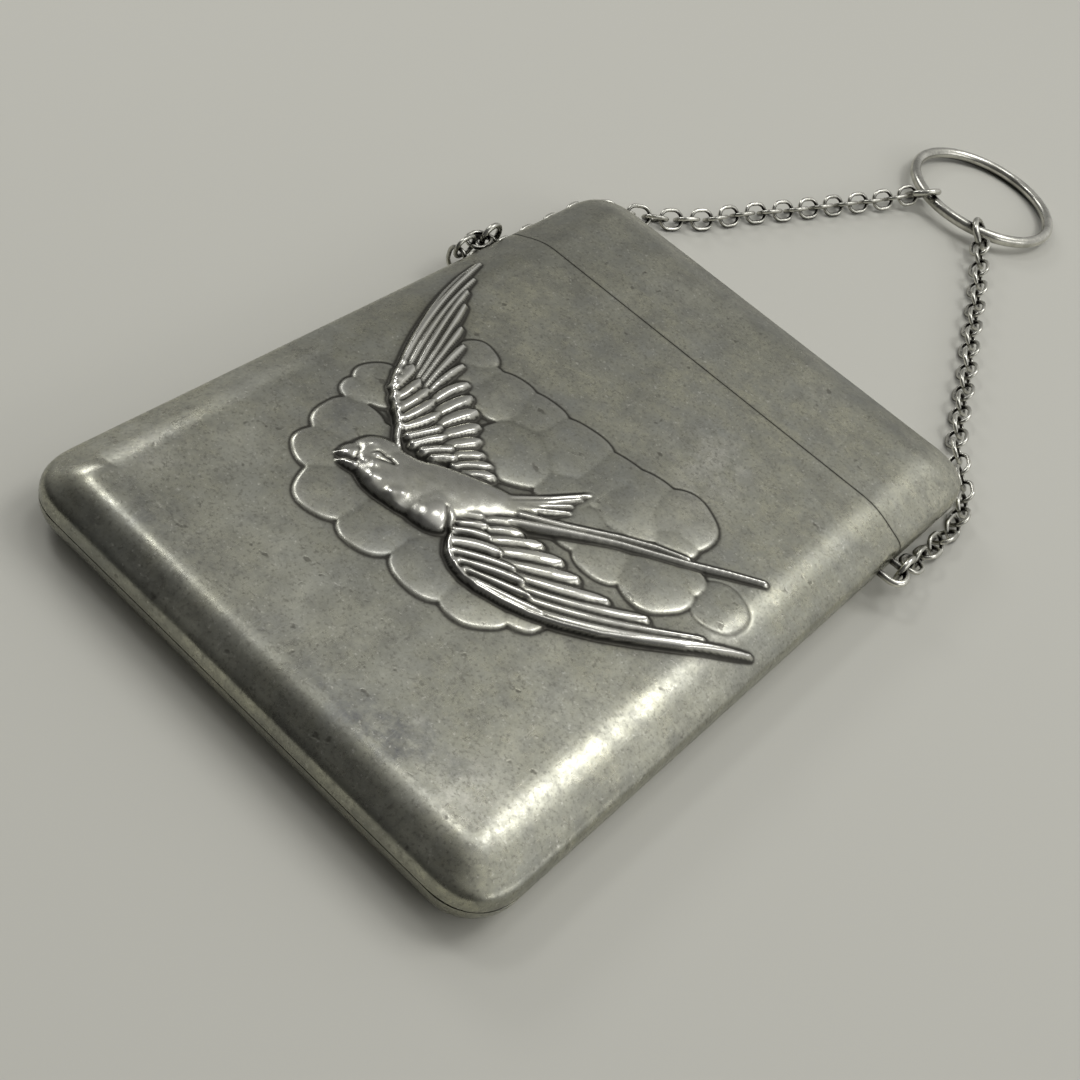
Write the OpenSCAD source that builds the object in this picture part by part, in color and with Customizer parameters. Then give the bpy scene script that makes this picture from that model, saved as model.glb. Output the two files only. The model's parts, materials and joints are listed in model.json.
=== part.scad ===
/* [Case] */
// Length of the closed case, from the bottom end to the top of the lid
case_length = 100; // [90:1:115]
// Width of the case
case_width = 67.4; // [66:0.2:76]
// Thickness of the case
case_thickness = 8.6; // [7.8:0.1:10]
// Radius of the flat face inside the rounding of a corner
corner_flat = 1.7; // [0.8:0.1:4]
// Length of the lid, from the lid line to the top end
lid_length = 20.6; // [18:0.2:24]
// Gap between the lid and the body along the lid line
lid_gap = 0.1; // [0.05:0.05:0.2]
// Thickness of the silver sheet
sheet = 0.5; // [0.4:0.05:0.6]

/* [Mouth rim] */
// Thickness of the rim soldered in the mouth of the body
rim_sheet = 0.4; // [0.3:0.05:0.5]
// Depth of the rim inside the body
rim_depth = 5; // [3:0.5:8]
// Height of the rim's curved lip above the mouth, measured at the front
rim_height = 2.4; // [1.6:0.1:3]
// Clearance between the rim's lip and the inside of the lid
rim_clearance = 0.08; // [0.05:0.01:0.12]

/* [Hinge] */
// Outer diameter of the hinge knuckles
knuckle_diameter = 1.7; // [1.5:0.05:1.8]
// Diameter of the hinge pin
pin_diameter = 0.8; // [0.6:0.05:0.9]
// Radial clearance between the pin and the knuckles
pin_clearance = 0.03; // [0.02:0.01:0.08]
// Number of knuckles, body and lid in turn
knuckle_count = 5; // [5:2:9]
// Gap between neighbouring knuckles
knuckle_gap = 0.12; // [0.08:0.02:0.2]
// Height of the lowest point of the knuckles above the back face
knuckle_sink = 0.05; // [0.03:0.01:0.1]
// How far the sheet is cut back from the hinge axis on either side
hinge_cut = 1.1; // [1.1:0.05:1.4]

/* [Lugs and chain] */
// Wire diameter of the lugs
lug_wire = 0.9; // [0.7:0.05:1]
// Radius of a lug's loop, at the middle of the wire
lug_radius = 1.6; // [1.55:0.05:1.8]
// Straight length of a lug's arms outside the case
lug_reach = 1.4; // [1.2:0.1:1.8]
// Distance from the lid line down to the upper arm of a lug
lug_drop = 1.1; // [1:0.1:3]
// Wire diameter of the jump rings in the lugs
lug_ring_wire = 0.8; // [0.6:0.05:0.8]
// Outer diameter of the jump rings in the lugs
lug_ring_diameter = 4.2; // [4.2:0.1:4.4]
// Wire diameter of the chain links
link_wire = 0.6; // [0.5:0.02:0.62]
// Width of a chain link
link_width = 3.4; // [3.3:0.05:3.6]
// Length of a chain link
link_length = 4.2; // [4.15:0.05:4.4]
// Greatest distance between neighbouring links along the chain
link_pitch = 2.78; // [2.7:0.01:2.8]
// Clearance between the chain and the side of the case
chain_clearance = 0.1; // [0.08:0.01:0.3]
// Height of the slack links at the left lug
slack_height = 5.25; // [5.2:0.05:6]
// Distance from the end of the case to the chain's first fold
chain_turn = 10; // [9:0.5:14]
// Distance from the first fold to the second
middle_reach = 22; // [20:0.5:30]
// Distance from the second fold to the finger ring's jump rings
far_reach = 24; // [22:0.2:32]

/* [Finger ring] */
// Outer diameter of the finger ring
ring_diameter = 26.1; // [24:0.1:28]
// Wire diameter of the finger ring
ring_wire = 1.8; // [1.4:0.1:1.8]
// Outer diameter of the two jump rings on the finger ring
ring_link_diameter = 6; // [5.8:0.1:6.4]
// Wire diameter of those jump rings
ring_link_wire = 1; // [0.8:0.05:1]
// Half the distance between the jump rings along the finger ring
ring_spread = 5.6; // [4.5:0.1:7]
// How far the finger ring's middle lies to the left of the case's middle
ring_shift = 2.05; // [0:0.05:4]

/* [Relief] */
// Height of the clouds above the front face
cloud_height = 0.5; // [0.3:0.05:0.7]
// Height of the swallow's body above the front face
bird_height = 1.8; // [1.2:0.1:2]
// Height of the wings' leading edges above the front face
wing_height = 1.1; // [0.8:0.05:1.2]
// Height of the tail streamers above the front face
tail_height = 0.7; // [0.5:0.05:0.9]
// Number of flight feathers in a wing
feather_count = 13; // [9:1:16]
// Depth of the notches between the feather tips
feather_notch = 0.9; // [0.4:0.1:1.2]
// Bare margin between a wing tip and the side of the case
wing_margin = 2.5; // [2.4:0.1:4]

/* [Hidden] */
$fn = 96;

// How far a cutting shape runs past what it cuts
eps = 0.5;

// Case: the origin is the middle of the back face, the lid is at +Y and the relief faces +Z
edge_radius = case_thickness / 2;
lid_line = case_length / 2 - lid_length;
body_mouth = lid_line - lid_gap / 2;
lid_mouth = lid_line + lid_gap / 2;
body_depth = body_mouth + case_length / 2;
lid_depth = case_length / 2 - lid_mouth;

// Hinge: its axis runs along X on the lid line, just inside the back face
knuckle_radius = knuckle_diameter / 2;
hinge_z = knuckle_sink + knuckle_radius;
hinge_length = case_width - case_thickness + 1.2;
knuckle_length = (hinge_length - (knuckle_count - 1) * knuckle_gap) / knuckle_count;
knuckle_step = knuckle_length + knuckle_gap;

// Rim: the lip is a solid of revolution about the hinge axis, so the lid swings clear of it
lip_radius = case_thickness - sheet - rim_clearance - hinge_z;
lip_angle = rim_height / lip_radius * 180 / PI;
lip_start = hinge_z + knuckle_radius + 0.5;

// Lugs: two arms run out of each side along X, and the chain swings about the upper arm
lug_arm_y = lid_line - lug_drop;
lug_z = edge_radius;
lug_x = case_width / 2 + lug_reach;
lug_ring_radius = (lug_ring_diameter - lug_ring_wire) / 2;
lug_ring_seat = lug_ring_radius - (lug_ring_wire + lug_wire) / 2 - 0.14;
chain_x = case_width / 2 + link_width / 2 + chain_clearance;

// Chain: a link's two bars lie link_reach from its middle, beyond its joints with its neighbours
link_arc = (link_width - link_wire) / 2;
link_straight = (link_length - link_width) / 2;
link_reach = (link_length - link_wire) / 2;
table_z = 0.02;
tilted_half = link_arc * sin(45) + link_wire / 2;
chain_z = tilted_half + table_z;
near_fold_y = case_length / 2 + chain_turn;
far_fold_y = near_fold_y + middle_reach;
ring_fold_y = far_fold_y + far_reach;

// Finger ring: it lies on the table at its far side and on the two jump rings at its near side
ring_radius = (ring_diameter - ring_wire) / 2;
ring_link_radius = (ring_link_diameter - ring_link_wire) / 2;
ring_link_z = ring_link_radius * sin(45) + ring_link_wire / 2 + table_z;
ring_link_seat = ring_link_radius - (ring_link_wire + link_wire) / 2 - 0.3;
ring_wire_seat = ring_link_radius - (ring_link_wire + ring_wire) / 2 - 0.3;
ring_link_lean = 0.9;

// Relief: places are measured from the middle of the case, in the plane of the front face
face_z = case_thickness;
relief_floor = face_z - 0.9 * sheet;
wing_reach = case_width / 2 - wing_margin;

// Lobes of the clouds as [x, y, radius, share of the cloud height]
low_clouds = [[-20.3, -9.3, 3.9, 0.7], [-17.9, -17, 4.5, 0.8], [-16.2, -22.4, 3.9, 0.9],
    [-11.7, -25.6, 4.4, 1], [-5.6, -25.4, 4.2, 0.9], [2.6, -24.2, 4.7, 1], [7.6, -23.2, 4.5, 0.8],
    [12.2, -20.6, 2.9, 0.7]];
high_clouds = [[-18, 4.2, 2.9, 0.7], [-11, 1.6, 4.6, 0.9], [-6.6, 2.4, 4.5, 0.7], [-0.3, 2.2, 5.4, 1],
    [5.5, 2.6, 5.3, 0.8], [10, 2.8, 5.8, 0.9], [14.2, 5.4, 4.8, 1], [-3.9, -4.3, 4.6, 1.1]];
side_clouds = [[18.2, -5, 4.9, 1], [12.6, -6.5, 4.5, 0.8], [8, -6.4, 4, 0.7], [25.2, -1.4, 3.4, 0.4]];

// Swallow's head, neck, breast, back and rump as [x, y, radius, share of the bird height]
bird_domes = [[-12.1, -18.2, 3.3, 0.85], [-8.8, -18, 3.8, 0.9], [-5.2, -17.2, 4.7, 1],
    [-1.6, -15.2, 4.1, 0.9], [1, -12.9, 2.9, 0.7]];
beak = [[-13.6, -20.6], [-15.9, -20.4], [-14.6, -18]];
eye_place = [-13, -17.3];

// Leading edges from shoulder to tip, and the curves that the feathers start and end on
left_arm = [[-9.5, -15.5], [-14.3, -14.1], [-17.1, -10.9], [-20.4, -8.7], [-22.5, -4.4],
    [-24.3, -0.5], [-27, 6.3], [-29.6, 13.4], [-wing_reach, 17.4]];
left_roots = [[-23.6, -2.5], [-18, -10], [-8, -13.6]];
left_tips = [[0.8 - wing_reach, 19.4], [-17.95, -2.55], [-5, -8.4]];
right_arm = [[-2.4, -16.6], [0, -20.1], [2.1, -22.3], [3.9, -22.9], [7.1, -22.3], [10.7, -20.9],
    [15, -18.4], [19.3, -15.1], [23.6, -11.6], [27.1, -8], [wing_reach - 0.8, -5.1]];
right_roots = [[14, -18], [5, -21.2], [0.5, -15.5]];
right_tips = [[wing_reach - 0.2, -2.9], [13.2, -14], [2.2, -12.4]];

// Outlines of the tail's streamers
long_streamer = [[0.6, -11.6], [3.9, -8.7], [10.7, -3], [16.4, 1.3], [22.1, 4.5], [26.4, 7],
    [20.7, 2.4], [15, -1.6], [9.3, -6.9], [4.3, -10.9]];
short_streamer = [[0, -11], [1.4, -7.3], [2.9, -5.1], [3.9, -3], [4.8, -0.4], [4.4, -4.4],
    [5.6, -5.2], [4.4, -8]];

// Slack links at the left lug: one flat, one upright and one that hangs to the table
lid_end = case_length / 2;
left_ring_angle = 130;
right_ring_angle = -30;
slack_hook = [lug_arm_y + lug_ring_seat * cos(left_ring_angle) - 0.84, slack_height];
slack_y = slack_hook[0] - link_reach;
upright_y = slack_y - link_pitch;
hanging_y = upright_y - 1;

// Chain routes on the table, as places in X and Y and heights in Z; each ends at a fold's axis
left_side_x = case_width / 2 + tilted_half + chain_clearance;
left_start = [-left_side_x, hanging_y + link_wire + chain_clearance + link_reach - link_pitch / 2, chain_z];
left_side = [[-left_side_x, lid_end - 1, chain_z], [2 - left_side_x, lid_end + 3, chain_z]];
right_hook = [chain_x, lug_arm_y + lug_ring_seat * cos(right_ring_angle) + 0.85,
    lug_z + lug_ring_seat * sin(right_ring_angle) - 0.3];
right_side = [[chain_x, lug_arm_y + 7.3, 2.1], [chain_x, lug_arm_y + 13, chain_z],
    [chain_x, lid_end - 5, chain_z], [chain_x - 1.8, lid_end + 0.6, chain_z]];
right_start = right_hook + unit(right_side[0] - right_hook) * (link_reach - link_pitch / 2);
left_near_fold = [-27, near_fold_y, chain_z];
right_near_fold = [26.9, near_fold_y, chain_z];
left_middle = [[-23.8, near_fold_y + 6, chain_z], [-21.6, near_fold_y + 13, chain_z]];
right_middle = [[22.8, near_fold_y + 9, chain_z], [19.8, near_fold_y + 16, chain_z]];
left_far_fold = [-17.9, far_fold_y, chain_z];
right_far_fold = [16.7, far_fold_y, chain_z];
left_far = [[-14.6, far_fold_y + 9, chain_z], [-11.2, ring_fold_y - 6.6, 1.6]];
right_far = [[12.4, far_fold_y + 9.6, chain_z], [8.4, ring_fold_y - 6.6, 1.6]];
ring_x = -ring_shift;
left_ring_fold = [ring_x - ring_spread - ring_link_lean, ring_fold_y, ring_link_z];
right_ring_fold = [ring_x + ring_spread + ring_link_lean, ring_fold_y, ring_link_z];

function unit(v) = v / norm(v);
function route_length(p, i = 0) = i >= len(p) - 1 ? 0 : norm(p[i + 1] - p[i]) + route_length(p, i + 1);
function along(p, s, i = 0) =
    let (step = norm(p[i + 1] - p[i]))
    s <= step || i >= len(p) - 2 ? p[i] + (p[i + 1] - p[i]) * s / step : along(p, s - step, i + 1);
function curve_point(c, u) = (1 - u) * (1 - u) * c[0] + 2 * u * (1 - u) * c[1] + u * u * c[2];

// Links that fit on a route whose end is the far bar of the last link, and their joints
function link_count(p) = ceil((route_length(p) - link_reach) / link_pitch + 0.5);
function link_spacing(p) = (route_length(p) - link_reach) / (link_count(p) - 0.5);
function joints(p) = [for (i = [0:link_count(p)]) along(p, link_spacing(p) * i)];
function last_joint(p) = along(p, link_spacing(p) * link_count(p));

left_near_route = concat([left_start], left_side, [left_near_fold]);
right_near_route = concat([right_start], right_side, [right_near_fold]);
left_middle_route = concat([last_joint(left_near_route)], left_middle, [left_far_fold]);
right_middle_route = concat([last_joint(right_near_route)], right_middle, [right_far_fold]);
left_far_route = concat([last_joint(left_middle_route)], left_far, [left_ring_fold]);
right_far_route = concat([last_joint(right_middle_route)], right_far, [right_ring_fold]);
left_near_count = link_count(left_near_route);
left_middle_count = link_count(left_middle_route);
right_near_count = link_count(right_near_route);
right_middle_count = link_count(right_middle_route);
left_total = left_near_count + left_middle_count + link_count(left_far_route);
right_total = right_near_count + right_middle_count + link_count(right_far_route);

// Round-edged cross-section of the case, standing on Y = 0
module case_section(width, thickness) {
    translate([-(width - thickness) / 2, 0]) square([width - thickness, thickness]);
    for (side = [-1, 1])
        translate([side * (width - thickness) / 2, thickness / 2]) circle(thickness / 2);
}

// Section of a rounded end, from the middle of the corner outwards
module end_section(flat, thickness) {
    intersection() {
        square([flat + thickness / 2, thickness]);
        union() {
            square([flat, thickness]);
            translate([flat, thickness / 2]) circle(thickness / 2);
        }
    }
}

// Solid with round edges that is open at Y = start and has a rounded end at Y = depth
module rounded_half(width, depth, thickness, flat, start) {
    corner = flat + thickness / 2;
    translate([0, depth - corner, 0])
        rotate([90, 0, 0]) linear_extrude(depth - corner - start) case_section(width, thickness);
    translate([corner - width / 2, depth - corner, 0])
        rotate([90, 0, 90]) linear_extrude(width - 2 * corner) end_section(flat, thickness);
    for (side = [0, 1])
        translate([(1 - 2 * side) * (width / 2 - corner), depth - corner, 0])
            rotate([0, 0, 90 * side]) rotate_extrude(angle = 90) end_section(flat, thickness);
}

// Front or back half of a hollow sheet shell, with its mouth at Y = 0
module sheet_shell(depth, front) {
    intersection() {
        difference() {
            rounded_half(case_width, depth, case_thickness, corner_flat, 0);
            translate([0, 0, sheet])
                rounded_half(case_width - 2 * sheet, depth - sheet, case_thickness - 2 * sheet,
                    corner_flat, -eps);
        }
        translate([-case_width, -eps, front ? edge_radius : -eps])
            cube([2 * case_width, depth + 2 * eps, front ? case_thickness : edge_radius + eps]);
    }
}

// Room for the hinge between the two back shells
module hinge_room() {
    translate([-case_width, lid_line - hinge_cut, -eps])
        cube([2 * case_width, 2 * hinge_cut, hinge_z + eps]);
}

module body_sheet(front) {
    translate([0, body_mouth, 0]) mirror([0, 1, 0]) sheet_shell(body_depth, front);
}

module lid_sheet(front) {
    translate([0, lid_mouth, 0]) sheet_shell(lid_depth, front);
}

module dome(place, height) {
    radius = place[2];
    rise = 0.8 * height;
    ball = (radius * radius + rise * rise) / (2 * rise);
    intersection() {
        translate([place[0], place[1], relief_floor])
            cylinder(r = radius, h = face_z + height - relief_floor);
        translate([place[0], place[1], face_z + height - ball]) sphere(ball);
    }
}

// Raises a flat shape from inside the sheet to a height above the front face
module raise(height) {
    translate([0, 0, relief_floor]) linear_extrude(face_z + height - relief_floor) children();
}

// A point near the tip of the feather at u, back along the feather by a distance
function tip_point(roots, tips, u, back) =
    let (tip = curve_point(tips, u)) tip - back * unit(tip - curve_point(roots, u));

// Outline of a feather row: the leading edge, then each rounded tip with a notch beside it
function row_outline(arm, roots, tips) =
    concat(arm, [for (i = [0:feather_count - 1], k = [0:3])
        tip_point(roots, tips, (i + 0.15 + 0.3 * k) / feather_count, feather_notch * [0.4, 0, 0.4, 1][k])]);

// Every second feather, from a share of its length to just short of its tip
module feather_blades(roots, tips) {
    for (i = [0:2:feather_count - 1]) {
        low = (i + 0.15) / feather_count;
        high = (i + 0.75) / feather_count;
        polygon([curve_point(roots, low), tip_point(roots, tips, low, 0.7 * feather_notch),
            tip_point(roots, tips, (low + high) / 2, 0.3 * feather_notch),
            tip_point(roots, tips, high, 0.7 * feather_notch), curve_point(roots, high)]);
    }
}

module wing(arm, roots, tips) {
    coverts = 0.6 * roots + 0.4 * tips;
    raise(0.5 * wing_height) polygon(row_outline(arm, roots, tips));
    raise(0.65 * wing_height) feather_blades(roots, tips);
    raise(0.8 * wing_height) polygon(row_outline(arm, roots, coverts));
    raise(wing_height) polygon(row_outline(arm, roots, 0.85 * roots + 0.15 * tips));
}

module relief() {
    for (place = concat(low_clouds, high_clouds, side_clouds)) dome(place, cloud_height * place[3]);
    for (place = bird_domes) dome(place, bird_height * place[3]);
    raise(0.6 * bird_height) polygon(beak);
    translate([eye_place[0], eye_place[1], face_z + 0.75 * bird_height]) sphere(0.5);
    wing(left_arm, left_roots, left_tips);
    wing(right_arm, right_roots, right_tips);
    raise(tail_height) polygon(long_streamer);
    raise(0.9 * tail_height) polygon(short_streamer);
}

module body_front_shell() {
    color([0.5, 0.5, 0.46]) {
        body_sheet(true);
        relief();
    }
}

module body_back_shell() {
    color([0.46, 0.46, 0.43]) difference() {
        body_sheet(false);
        hinge_room();
    }
}

module lid_front_shell() {
    color([0.5, 0.5, 0.46]) lid_sheet(true);
}

module lid_back_shell() {
    color([0.46, 0.46, 0.43]) difference() {
        lid_sheet(false);
        hinge_room();
    }
}

// Ring-shaped section of the rim, set in from the inside of the shells
module rim_section(inset) {
    difference() {
        translate([0, sheet + inset])
            case_section(case_width - 2 * (sheet + inset), case_thickness - 2 * (sheet + inset));
        translate([0, sheet + inset + rim_sheet])
            case_section(case_width - 2 * (sheet + inset + rim_sheet),
                case_thickness - 2 * (sheet + inset + rim_sheet));
    }
}

module mouth_rim() {
    color([0.6, 0.6, 0.56]) {
        difference() {
            translate([0, lid_line, 0])
                rotate([90, 0, 0]) linear_extrude(rim_depth) rim_section(0);
            translate([-case_width, lid_line - hinge_cut, 0])
                cube([2 * case_width, 2 * hinge_cut, lip_start]);
        }
        translate([0, lid_line, hinge_z])
            rotate([0, -90, 0]) rotate_extrude(angle = lip_angle) intersection() {
                translate([-hinge_z, 0]) rotate(-90) rim_section(rim_clearance);
                translate([lip_start - hinge_z, -case_width]) square([case_thickness, 2 * case_width]);
            }
    }
}

// Knuckles first, first + 2, ... with a web to the sheet on their own side
module knuckles(first, side) {
    for (i = [first:2:knuckle_count - 1])
        translate([i * knuckle_step - hinge_length / 2, lid_line, 0]) difference() {
            union() {
                translate([0, 0, hinge_z]) rotate([0, 90, 0]) cylinder(r = knuckle_radius, h = knuckle_length);
                translate([0, side > 0 ? 0.3 : -hinge_cut, 0]) cube([knuckle_length, hinge_cut - 0.3, sheet]);
            }
            translate([-eps, 0, hinge_z]) rotate([0, 90, 0])
                cylinder(d = pin_diameter + 2 * pin_clearance, h = knuckle_length + 2 * eps);
        }
}

module body_hinge_knuckles() {
    color([0.6, 0.58, 0.52]) knuckles(0, -1);
}

module lid_hinge_knuckles() {
    color([0.66, 0.64, 0.58]) knuckles(1, 1);
}

module hinge_pin() {
    color([0.4, 0.4, 0.38])
        translate([-hinge_length / 2, lid_line, hinge_z]) rotate([0, 90, 0])
            cylinder(d = pin_diameter, h = hinge_length);
}

// Part of a wire ring in the XY plane
module wire_arc(radius, wire, angle) {
    rotate_extrude(angle = angle) translate([radius, 0]) circle(d = wire);
}

// A loop of wire soldered to the side of the body, side = 1 on the right
module lug(side) {
    mirror([side < 0 ? 1 : 0, 0, 0]) difference() {
        translate([0, lug_arm_y - lug_radius, lug_z]) {
            translate([lug_x, 0, 0]) rotate([0, 0, -90]) wire_arc(lug_radius, lug_wire, 180);
            for (arm = [-1, 1])
                translate([lug_x - lug_reach - 1, arm * lug_radius, 0])
                    rotate([0, 90, 0]) cylinder(d = lug_wire, h = lug_reach + 1);
        }
        translate([case_width / 2 - edge_radius, lug_arm_y + 2 * lug_radius, edge_radius])
            rotate([90, 0, 0]) cylinder(r = edge_radius, h = 6 * lug_radius);
    }
}

module left_lug() {
    color([0.58, 0.57, 0.52]) lug(-1);
}

module right_lug() {
    color([0.58, 0.57, 0.52]) lug(1);
}

// Places a piece that is drawn along X at a point, along a direction and turned about it
module along_run(centre, direction, tilt) {
    translate(centre)
        rotate([tilt, -asin(direction[2]), atan2(direction[1], direction[0])]) children();
}

module chain_link() {
    for (side = [0, 1]) {
        rotate([0, 0, 180 * side]) translate([link_straight, 0, 0])
            rotate([0, 0, -90]) wire_arc(link_arc, link_wire, 180);
        translate([-link_straight, (2 * side - 1) * link_arc, 0])
            rotate([0, 90, 0]) cylinder(d = link_wire, h = 2 * link_straight);
    }
}

// Each link is a quarter turn from the last; the right ones settle from upright to 45 degrees
function link_tilt(i, settled) = 90 * (i % 2) - 45 * (settled ? 1 : min(1, i / 3));

// Links along a route: first counts the links before it
module chain_run(route, first, settled) {
    place = joints(route);
    for (i = [0:len(place) - 2])
        along_run((place[i] + place[i + 1]) / 2, unit(place[i + 1] - place[i]), link_tilt(first + i, settled))
            chain_link();
}

module chain_tone() {
    color([0.5, 0.49, 0.45]) children();
}

module lug_ring(side, angle) {
    chain_tone() translate([side * chain_x, lug_arm_y, lug_z])
        rotate([angle, 0, 0]) translate([0, lug_ring_seat, 0])
            rotate([0, 90, 0]) wire_arc(lug_ring_radius, lug_ring_wire, 360);
}

module left_lug_ring() {
    lug_ring(-1, left_ring_angle);
}

module right_lug_ring() {
    lug_ring(1, right_ring_angle);
}

module left_slack_links() {
    chain_tone() {
        along_run([-chain_x, slack_y, slack_height], [0, 1, 0], 0) chain_link();
        along_run([-chain_x, upright_y, slack_height], [0, 1, 0], 90) chain_link();
        along_run([-chain_x, hanging_y, slack_height - link_reach], [0, 0, -1], 90) chain_link();
    }
}

module left_chain_near() {
    chain_tone() chain_run(left_near_route, 0, true);
}

module right_chain_near() {
    chain_tone() chain_run(right_near_route, 0, false);
}

module left_chain_middle() {
    chain_tone() chain_run(left_middle_route, left_near_count, true);
}

module right_chain_middle() {
    chain_tone() chain_run(right_middle_route, right_near_count, true);
}

module left_chain_far() {
    chain_tone() chain_run(left_far_route, left_near_count + left_middle_count, true);
}

module right_chain_far() {
    chain_tone() chain_run(right_far_route, right_near_count + right_middle_count, true);
}

// Where the finger ring's wire passes through a jump ring, and the jump ring's own middle
function ring_contact(fold, side) =
    [ring_x + side * ring_spread, fold[1] + sqrt(pow(ring_link_seat + ring_wire_seat, 2) - ring_link_lean * ring_link_lean), fold[2]];
function ring_link_middle(fold, side) =
    fold + unit(ring_contact(fold, side) - fold) * ring_link_seat;

module ring_link(fold, side, tilt) {
    along_run(ring_link_middle(fold, side), unit(ring_contact(fold, side) - fold), tilt)
        wire_arc(ring_link_radius, ring_link_wire, 360);
}

module left_ring_link() {
    chain_tone() ring_link(left_ring_fold, -1, link_tilt(left_total, true));
}

module right_ring_link() {
    chain_tone() ring_link(right_ring_fold, 1, link_tilt(right_total, true));
}

ring_contact_y = ring_contact(left_ring_fold, -1)[1];
ring_contact_run = sqrt(ring_radius * ring_radius - ring_spread * ring_spread);
ring_lean = asin((ring_link_z - ring_wire / 2 - table_z) / (ring_contact_run + ring_radius));

module finger_ring() {
    chain_tone() translate([ring_x, ring_contact_y, ring_link_z])
        rotate([-ring_lean, 0, 0]) translate([0, ring_contact_run, 0])
            wire_arc(ring_radius, ring_wire, 360);
}

body_front_shell();
body_back_shell();
mouth_rim();
lid_front_shell();
lid_back_shell();
body_hinge_knuckles();
lid_hinge_knuckles();
hinge_pin();
left_lug();
right_lug();
left_lug_ring();
right_lug_ring();
left_slack_links();
left_chain_near();
right_chain_near();
left_chain_middle();
right_chain_middle();
left_chain_far();
right_chain_far();
left_ring_link();
right_ring_link();
finger_ring();
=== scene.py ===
import json
import math
import bpy
import numpy as np
from mathutils import Matrix


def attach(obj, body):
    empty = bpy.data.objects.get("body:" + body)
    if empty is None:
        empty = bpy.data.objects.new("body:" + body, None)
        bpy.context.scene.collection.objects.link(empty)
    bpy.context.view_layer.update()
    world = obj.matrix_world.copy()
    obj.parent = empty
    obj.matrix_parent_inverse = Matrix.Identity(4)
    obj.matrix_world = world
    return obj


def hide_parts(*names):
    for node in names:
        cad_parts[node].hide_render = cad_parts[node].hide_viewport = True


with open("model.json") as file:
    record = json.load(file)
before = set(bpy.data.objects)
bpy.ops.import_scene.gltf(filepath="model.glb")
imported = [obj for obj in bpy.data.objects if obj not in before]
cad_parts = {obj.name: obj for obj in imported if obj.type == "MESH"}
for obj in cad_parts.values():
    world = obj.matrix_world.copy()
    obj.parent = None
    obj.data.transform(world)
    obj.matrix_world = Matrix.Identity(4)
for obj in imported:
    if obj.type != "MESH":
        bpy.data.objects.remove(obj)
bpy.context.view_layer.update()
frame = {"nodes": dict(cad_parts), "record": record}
MM = 0.001

# Sizes of the case in millimetres, as in the CAD model
HALF_WIDTH = 33.7
HALF_LENGTH = 50.0
THICKNESS = 8.6
MIDDLE = 4.3
SHEET = 0.5
LID_LINE = 29.4
LID_GAP = 0.05
HINGE_Z = 0.9
RIM_DEPTH = 5.0
RIM_SHEET = 0.4
LIP = 2.4
# Free space round the lip, from the lid's sheet and over the hinge
LIP_GAP = 0.09
LIP_TOP_GAP = 0.08
# The back of the rim stops this far from the lid line
HINGE_ROOM = 1.15
RIM_TARNISH = 0.3

# The front falls away towards the sides over this distance, and steeply at the side itself
ROLL = 7.5
# How square the corners are, seen from above
CORNER_POWER = 2.6
# How much sooner the bottom end rolls over than the sides do
BOTTOM_TIGHTER = 1.5
# The roll as distance from the side and height
ROLL_POINTS = [(0, 4.3), (0, 4.75), (0.03, 5.25), (0.14, 5.7), (0.36, 6.1), (0.7, 6.42), (1.2, 6.7),
               (2.0, 7.05), (2.9, 7.45), (3.8, 7.84), (4.8, 8.19), (5.7, 8.43), (6.6, 8.56), (7.5, 8.6)]

# Within this distance from the side the roll is steep, and its own points are kept
STEEP = 0.5
# Edges sharper than this aren't smoothed
SHARP_ANGLE = math.radians(70)

# Rows of the body's front: coarse, then fine under the relief, then coarse again up to the mouth
COARSE_STEP = 0.6
COARSE_END = -31.7
RELIEF_START = -31.5
RELIEF_END = 21.5
UPPER_START = 21.7
UPPER_ROWS = 13
# Rows and columns of the lid's flat part, and how far from the mouth its last row lies
LID_ROWS = 15
LID_COLUMNS = 40
LID_LAST = 0.9
# Distances of the last rows from the mouth, where the painted shade of the lid line lies
EDGE_ROWS = np.array([0.35, 0.14, 0])
LINE_SHADE = 0.85
LINE_WIDTH = 0.13
# The plain inner side of the sheet has only one row and column for so many of the outer side
EDGE_STRIDE = 8
BODY_STRIDES = (40, 40)
LID_STRIDES = (5, 8)


def smooth_line(points, rounds=3):
    """Cuts the corners of an open line, and keeps its two ends."""
    p = np.array(points, float)
    for _ in range(rounds):
        q = [p[0]]
        for a, b in zip(p[:-1], p[1:]):
            q += [0.75 * a + 0.25 * b, 0.25 * a + 0.75 * b]
        p = np.array(q + [p[-1]])
    return p


def resample(p, steps):
    """Points at equal distances along a line."""
    s = np.concatenate([[0], np.cumsum(np.linalg.norm(np.diff(p, axis=0), axis=1))])
    t = np.linspace(0, s[-1], steps + 1)
    return np.stack([np.interp(t, s, p[:, k]) for k in range(p.shape[1])], 1)


def offset_line(p, distance):
    """The line moved to its inner side."""
    d = np.gradient(p, axis=0)
    d /= np.linalg.norm(d, axis=1)[:, None]
    q = p + distance * np.stack([d[:, 1], -d[:, 0]], 1)
    q[0] = [p[0][0] + distance, p[0][1]]
    q[-1] = [p[-1][0], p[-1][1] - distance]
    return q


ROLL_LINE = resample(smooth_line(ROLL_POINTS), 64)


def add_object(name, data):
    obj = bpy.data.objects.new(name, data)
    bpy.context.scene.collection.objects.link(obj)
    return obj


def new_mesh(name, verts, faces):
    mesh = bpy.data.meshes.new(name)
    mesh.from_pydata([tuple(v) for v in verts], [], faces)
    mesh.update()
    return add_object(name, mesh)


def add_layer(obj, key, values):
    """One number for each point of a mesh, for its material to read."""
    layer = obj.data.attributes.new(key, "FLOAT", "POINT")
    layer.data.foreach_set("value", np.asarray(values).astype(np.float32))


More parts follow.
